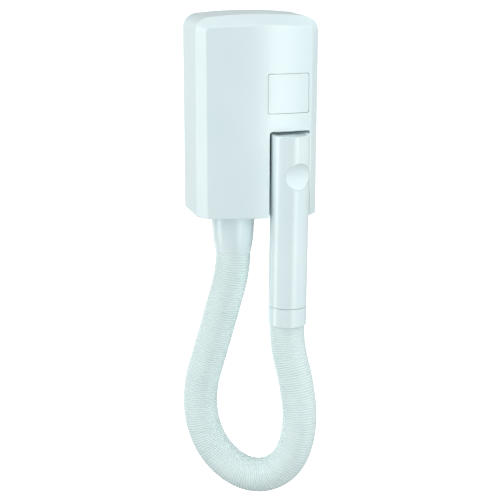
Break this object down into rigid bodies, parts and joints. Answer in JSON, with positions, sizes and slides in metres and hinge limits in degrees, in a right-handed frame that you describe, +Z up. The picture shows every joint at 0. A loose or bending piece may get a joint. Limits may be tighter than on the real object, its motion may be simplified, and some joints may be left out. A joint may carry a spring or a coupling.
{
  "type": "hair dryer",
  "caption": "Wall-mounted hair dryer: bowed blower box with a socket blank, a corrugated hose and a cylindrical handset docked in a recess, with push button.",
  "frame": {"origin": "centre of the four wall-screw holes, on the wall plane", "axes": "+Z up, -Y out of the wall towards the user, +X to the user's right"},
  "size_m": [0.1569, 0.1307, 0.5875],
  "materials": {
    "white_abs": "satin moulded white",
    "grey_abs": "fine texture",
    "zinc_steel": "zinc plated",
    "spring_steel": "bright",
    "ground_steel": "ground",
    "lamination_steel": "stacked sheet",
    "black_nylon": "moulded",
    "dark_nylon": "moulded",
    "white_nylon": "moulded",
    "yellow_plastic": "moulded",
    "circuit_board": "solder mask",
    "hose_vinyl": "corrugated, matte",
    "black_rubber": "matte",
    "silicone": "matte",
    "brass": "turned",
    "bronze": "sintered",
    "copper": "enamelled",
    "heating_wire": "oxidised resistance wire",
    "ferrite": "fired",
    "carbon": "pressed graphite",
    "mica": "layered sheet",
    "aluminium": "drawn"
  },
  "bodies": {
    "housing": {"front_cover": "white_abs", "back_plate": "grey_abs", "cover_screws": "zinc_steel", "socket_blank": "white_abs", "handset_cradle": "white_abs", "cradle_screws": "zinc_steel", "cradle_clip": "spring_steel", "clip_nut": "zinc_steel", "dock_switch": "black_nylon", "dock_switch_screws": "zinc_steel", "plunger_spring": "spring_steel", "fan_housing": "dark_nylon", "fan_cover": "dark_nylon", "scroll_screws": "zinc_steel", "motor_can": "zinc_steel", "motor_screws": "zinc_steel", "motor_magnets": "ferrite", "motor_bushes": "bronze", "motor_endcap": "black_nylon", "motor_brushes": "carbon", "heater_duct": "zinc_steel", "duct_gasket": "silicone", "duct_strap": "zinc_steel", "strap_screws": "zinc_steel", "heater_frame": "mica", "heater_coils": "heating_wire", "thermostat": "aluminium", "thermal_fuse": "aluminium", "outlet_funnel": "dark_nylon", "hose_collar": "white_abs", "hose_base_insert": "white_nylon", "control_board": "circuit_board", "board_screws": "zinc_steel", "relay": "black_nylon", "suppression_capacitor": "yellow_plastic", "board_transformer": "yellow_plastic", "terminal_block": "white_nylon", "terminal_screws": "brass", "cable_grommet": "black_rubber", "cable_clamp": "white_nylon", "clamp_screws": "zinc_steel", "hose": "hose_vinyl"},
    "fan_rotor": {"impeller": "black_nylon", "impeller_nut": "brass", "motor_shaft": "ground_steel", "armature_core": "lamination_steel", "armature_windings": "copper", "commutator": "copper"},
    "plunger": {"dock_plunger": "white_nylon"},
    "cuff": {"hose_cuff": "white_abs", "swivel_circlip": "spring_steel", "hose_end_insert": "white_nylon"},
    "handset": {"handset_tube": "white_abs", "outlet_rim": "white_abs", "outlet_grille": "white_abs", "switch_carrier": "white_nylon", "handset_switch": "black_nylon", "button_springs": "spring_steel"},
    "button": {"push_button": "white_abs"}
  },
  "joints": [
    {"name": "fan_spin", "type": "hinge", "parent": "housing", "child": "fan_rotor", "pos_m": [0.002, -0.041, 0.048], "axis": [0, 1, 0], "continuous": true},
    {"name": "handset_pull", "type": "slide", "parent": "housing", "child": "cuff", "axis": [0, -1, 0], "range_m": [0, 0.06], "deforming": ["cradle_clip"]},
    {"name": "dock_plunger_travel", "type": "slide", "parent": "housing", "child": "plunger", "axis": [0, -1, 0], "range_m": [0, 0.004], "deforming": ["plunger_spring"]},
    {"name": "handset_swivel", "type": "hinge", "parent": "cuff", "child": "handset", "pos_m": [0.036, -0.0934, -0.2381], "axis": [0, -0.068, 0.9977], "range_deg": [-170, 170]},
    {"name": "button_press", "type": "slide", "parent": "handset", "child": "button", "axis": [-0.284, 0.9566, 0.0652], "range_m": [0, 0.0016], "stiffness_N_per_m": 800, "springref_m": -0.0015, "deforming": ["button_springs"]}
  ],
  "couplings": [
    {"joint": "dock_plunger_travel", "follows": "handset_pull", "ratio": 0.0666}
  ]
}
